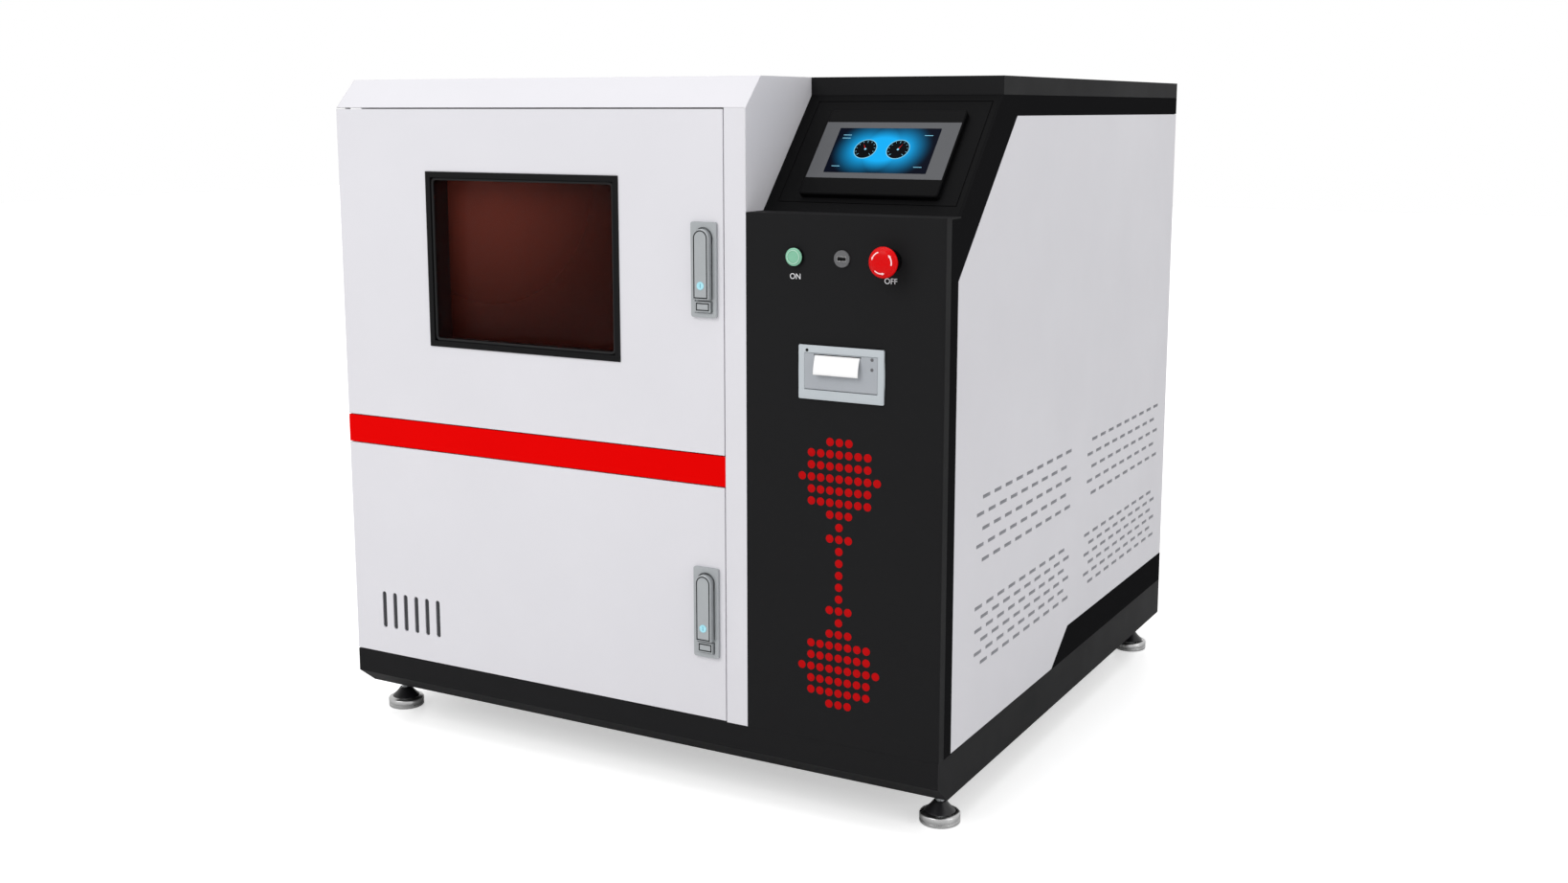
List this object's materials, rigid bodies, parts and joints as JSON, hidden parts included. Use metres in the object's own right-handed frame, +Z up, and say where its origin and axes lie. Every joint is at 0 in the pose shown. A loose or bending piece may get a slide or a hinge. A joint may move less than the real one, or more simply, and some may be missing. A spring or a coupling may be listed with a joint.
{
  "type": "environmental test chamber",
  "caption": "Free-standing temperature and humidity test chamber with a windowed upper door, a machine bay below and a control column with slanted touch screen, on levelling feet",
  "frame": {"origin": "on the floor, under the middle of the cabinet's box", "axes": "+Z up, -Y out of the doors, +X to the control column on the user's right"},
  "size_m": [1.006, 1.06, 1],
  "materials": {
    "white_paint": "satin",
    "red_paint": "satin",
    "black_paint": "satin",
    "side_paint": "satin",
    "zinc_steel": "matte",
    "stainless": "satin",
    "fin_aluminium": "satin",
    "machine_black": "satin",
    "glass_wool": "matte",
    "collar_plastic": "matte",
    "seal_rubber": "matte",
    "dark_frame": "satin",
    "tinted_glass": "gloss",
    "handle_grey": "satin",
    "key_metal": "gloss",
    "bezel_black": "satin",
    "screen_glass": "gloss",
    "button_green": "gloss",
    "socket_grey": "satin",
    "stop_red": "gloss",
    "printer_grey": "satin",
    "paper_white": "matte",
    "filter_mat": "matte",
    "foot_steel": "satin",
    "brass_fitting": "satin"
  },
  "bodies": {
    "cabinet": {"base_tray": "black_paint", "inner_frame": "zinc_steel", "chamber_shell": "white_paint", "red_band": "red_paint", "hinge_pins": "zinc_steel", "inner_tank": "stainless", "insulation": "glass_wool", "door_collar": "collar_plastic", "duct_baffle": "stainless", "humidifier_pan": "stainless", "evaporator": "fin_aluminium", "heater": "stainless", "circulation_motor": "machine_black", "wire_shelf": "stainless", "compressor": "machine_black", "condenser": "fin_aluminium", "column_front": "black_paint", "dot_backing": "red_paint", "console_panel": "black_paint", "hmi_housing": "bezel_black", "hmi_screen": "screen_glass", "side_frame": "black_paint", "side_panel": "side_paint", "top_cover": "black_paint", "rear_panel": "side_paint", "rear_fittings": "brass_fitting", "electrical_panel": "zinc_steel", "power_ring": "bezel_black", "usb_socket": "socket_grey", "estop_collar": "bezel_black", "printer_housing": "printer_grey"},
    "circulation_rotor": {"circulation_wheel": "fin_aluminium"},
    "cooling_rotor": {"cooling_fan": "fin_aluminium"},
    "power_button": {"power_cap": "button_green"},
    "estop_plunger": {"estop_stem": "bezel_black"},
    "estop_knob": {"estop_head": "stop_red"},
    "printer_lid": {"printer_cover": "printer_grey", "paper_strip": "paper_white"},
    "roll": {"paper_roll": "paper_white"},
    "upper_door": {"upper_door_skin": "white_paint", "upper_door_liner": "stainless", "window_frame": "dark_frame", "window_panes": "tinted_glass", "door_gasket": "seal_rubber", "upper_handle_plate": "handle_grey"},
    "lower_door": {"lower_door_skin": "white_paint", "lower_door_filter": "filter_mat", "lower_handle_plate": "handle_grey"},
    "upper_button": {"upper_handle_button": "handle_grey"},
    "upper_spindle": {"upper_handle_spindle": "zinc_steel"},
    "upper_lever": {"upper_handle_lever": "handle_grey"},
    "upper_key": {"upper_key_cylinder": "key_metal"},
    "lower_button": {"lower_handle_button": "handle_grey"},
    "lower_spindle": {"lower_handle_spindle": "zinc_steel"},
    "lower_lever": {"lower_handle_lever": "handle_grey"},
    "lower_key": {"lower_key_cylinder": "key_metal"},
    "foot_front_left_body": {"foot_front_left": "foot_steel"},
    "foot_front_right_body": {"foot_front_right": "foot_steel"},
    "foot_rear_left_body": {"foot_rear_left": "foot_steel"},
    "foot_rear_right_body": {"foot_rear_right": "foot_steel"}
  },
  "joints": [
    {"name": "upper_door_hinge", "type": "hinge", "parent": "cabinet", "child": "upper_door", "pos_m": [-0.49, -0.486, 0.7369], "axis": [0, 0, -1], "range_deg": [0, 110]},
    {"name": "lower_door_hinge", "type": "hinge", "parent": "cabinet", "child": "lower_door", "pos_m": [-0.49, -0.486, 0.27965], "axis": [0, 0, -1], "range_deg": [0, 110]},
    {"name": "power_press", "type": "slide", "parent": "cabinet", "child": "power_button", "axis": [0, 1, 0], "range_m": [0, 0.0024], "stiffness_N_per_m": 900},
    {"name": "estop_press", "type": "slide", "parent": "cabinet", "child": "estop_plunger", "axis": [0, 1, 0], "range_m": [0, 0.0045], "stiffness_N_per_m": 1500},
    {"name": "estop_twist", "type": "hinge", "parent": "estop_plunger", "child": "estop_knob", "pos_m": [0.425, -0.5, 0.7666], "axis": [0, 1, 0], "range_deg": [0, 45], "stiffness_Nm_per_rad": 0.2},
    {"name": "printer_cover_hinge", "type": "hinge", "parent": "cabinet", "child": "printer_lid", "pos_m": [0.35605, -0.5005, 0.5967], "axis": [1, 0, 0], "range_deg": [0, 80]},
    {"name": "paper_roll_spin", "type": "hinge", "parent": "cabinet", "child": "roll", "pos_m": [0.35605, -0.47, 0.6181], "axis": [1, 0, 0], "continuous": true},
    {"name": "circulation_fan_spin", "type": "hinge", "parent": "cabinet", "child": "circulation_rotor", "pos_m": [-0.16, 0.0973, 0.82], "axis": [0, 1, 0], "continuous": true},
    {"name": "cooling_fan_spin", "type": "hinge", "parent": "cabinet", "child": "cooling_rotor", "pos_m": [-0.29, -0.31, 0.188], "axis": [0, 1, 0], "continuous": true},
    {"name": "upper_button_press", "type": "slide", "parent": "upper_door", "child": "upper_button", "axis": [0, 1, 0], "range_m": [0, 0.003], "stiffness_N_per_m": 900},
    {"name": "upper_handle_turn", "type": "hinge", "parent": "upper_door", "child": "upper_spindle", "pos_m": [0.1495, -0.5, 0.7861], "axis": [0, 1, 0], "range_deg": [0, 90]},
    {"name": "upper_lever_lift", "type": "hinge", "parent": "upper_spindle", "child": "upper_lever", "pos_m": [0.1495, -0.5078, 0.7861], "axis": [-1, 0, 0], "range_deg": [0, 25]},
    {"name": "upper_key_turn", "type": "hinge", "parent": "upper_lever", "child": "upper_key", "pos_m": [0.1495, -0.504, 0.7225], "axis": [0, 1, 0], "range_deg": [0, 90]},
    {"name": "lower_button_press", "type": "slide", "parent": "lower_door", "child": "lower_button", "axis": [0, 1, 0], "range_m": [0, 0.003], "stiffness_N_per_m": 900},
    {"name": "lower_handle_turn", "type": "hinge", "parent": "lower_door", "child": "lower_spindle", "pos_m": [0.1495, -0.5, 0.3096], "axis": [0, 1, 0], "range_deg": [0, 90]},
    {"name": "lower_lever_lift", "type": "hinge", "parent": "lower_spindle", "child": "lower_lever", "pos_m": [0.1495, -0.5078, 0.3096], "axis": [-1, 0, 0], "range_deg": [0, 25]},
    {"name": "lower_key_turn", "type": "hinge", "parent": "lower_lever", "child": "lower_key", "pos_m": [0.1495, -0.504, 0.246], "axis": [0, 1, 0], "range_deg": [0, 90]},
    {"name": "foot_front_left_level", "type": "slide", "parent": "cabinet", "child": "foot_front_left_body", "axis": [0, 0, -1], "range_m": [0, 0.015]},
    {"name": "foot_front_right_level", "type": "slide", "parent": "cabinet", "child": "foot_front_right_body", "axis": [0, 0, -1], "range_m": [0, 0.015]},
    {"name": "foot_rear_left_level", "type": "slide", "parent": "cabinet", "child": "foot_rear_left_body", "axis": [0, 0, -1], "range_m": [0, 0.015]},
    {"name": "foot_rear_right_level", "type": "slide", "parent": "cabinet", "child": "foot_rear_right_body", "axis": [0, 0, -1], "range_m": [0, 0.015]}
  ]
}
